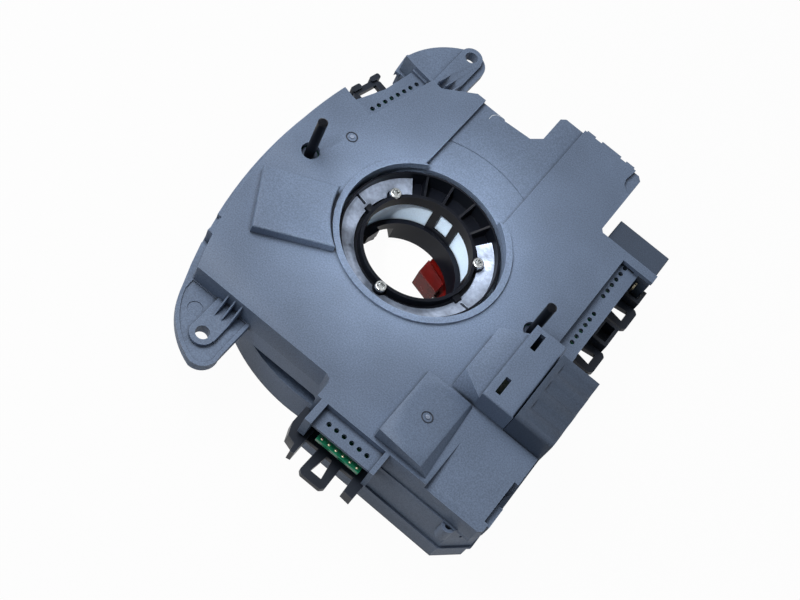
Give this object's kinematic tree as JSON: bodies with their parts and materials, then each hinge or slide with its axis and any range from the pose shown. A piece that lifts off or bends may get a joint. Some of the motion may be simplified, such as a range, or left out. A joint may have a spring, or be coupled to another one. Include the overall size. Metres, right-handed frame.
{
  "type": "steering clock spring",
  "caption": "Steering clock spring with angle sensor: flat housing, turning hub with shaft bore, two mounting ears, plug sockets and stalk switch latches.",
  "frame": {"origin": "on the steering axis, at the top face of the cover plate on the column side", "axes": "+Z along the steering axis towards the column, +Y towards the cable panel, +X towards the main connector"},
  "size_m": [0.1674, 0.2084, 0.0662],
  "materials": {
    "housing_plastic": "fine textured dark blue-grey moulding",
    "connector_plastic": "smoother dark moulding",
    "hub_plastic": "black moulding",
    "gloss_black": "glossy black moulding",
    "white_plastic": "natural white moulding",
    "red_plastic": "red moulding",
    "yellow_plastic": "yellow moulding",
    "screw_zinc": "bright zinc plated steel",
    "contact_metal": "tinned brass contacts",
    "magnet_grey": "grey sintered magnet",
    "board_green": "green solder mask",
    "chip_black": "black chip package",
    "ribbon_film": "amber film"
  },
  "bodies": {
    "housing": {"rear_cover": "housing_plastic", "middle_housing": "housing_plastic", "front_cover": "housing_plastic", "circuit_board": "board_green", "board_processor": "chip_black", "sensor_chips": "chip_black", "main_connector": "connector_plastic", "side_connector": "connector_plastic", "main_connector_pins": "contact_metal", "side_connector_pins": "contact_metal", "left_locating_pin": "connector_plastic", "right_locating_pin": "connector_plastic", "ribbon_cable": "ribbon_film", "slide_film": "ribbon_film", "stator_terminal_block": "hub_plastic"},
    "rotor": {"rotor_hub": "hub_plastic", "retaining_ring": "gloss_black", "ring_screws": "screw_zinc", "code_ring": "white_plastic", "rotor_front": "hub_plastic", "airbag_sockets": "yellow_plastic", "airbag_pins": "contact_metal", "switch_pins": "contact_metal", "rotor_terminal_block": "hub_plastic"},
    "gear_a": {"sensor_gear_a": "white_plastic", "magnet_a": "magnet_grey"},
    "gear_b": {"sensor_gear_b": "white_plastic", "magnet_b": "magnet_grey"},
    "lock": {"lock_tab": "red_plastic"}
  },
  "joints": [
    {"name": "rotor_turn", "type": "hinge", "parent": "housing", "child": "rotor", "pos_m": [0, 0, -0.03], "axis": [0, 0, 1], "range_deg": [-900, 900], "deforming": ["ribbon_cable"]},
    {"name": "gear_a_spin", "type": "hinge", "parent": "housing", "child": "gear_a", "pos_m": [-0.04704, -0.01574, -0.0129], "axis": [0, 0, 1], "range_deg": [-3750, 3750]},
    {"name": "gear_b_spin", "type": "hinge", "parent": "housing", "child": "gear_b", "pos_m": [-0.03595, -0.03533, -0.0129], "axis": [0, 0, 1], "range_deg": [-3461.6, 3461.6]},
    {"name": "lock_slide", "type": "slide", "parent": "rotor", "child": "lock", "axis": [0, 0, 1], "range_m": [0, 0.0016]}
  ],
  "couplings": [
    {"joint": "gear_a_spin", "follows": "rotor_turn", "ratio": -4.1667},
    {"joint": "gear_b_spin", "follows": "rotor_turn", "ratio": -3.8462}
  ]
}
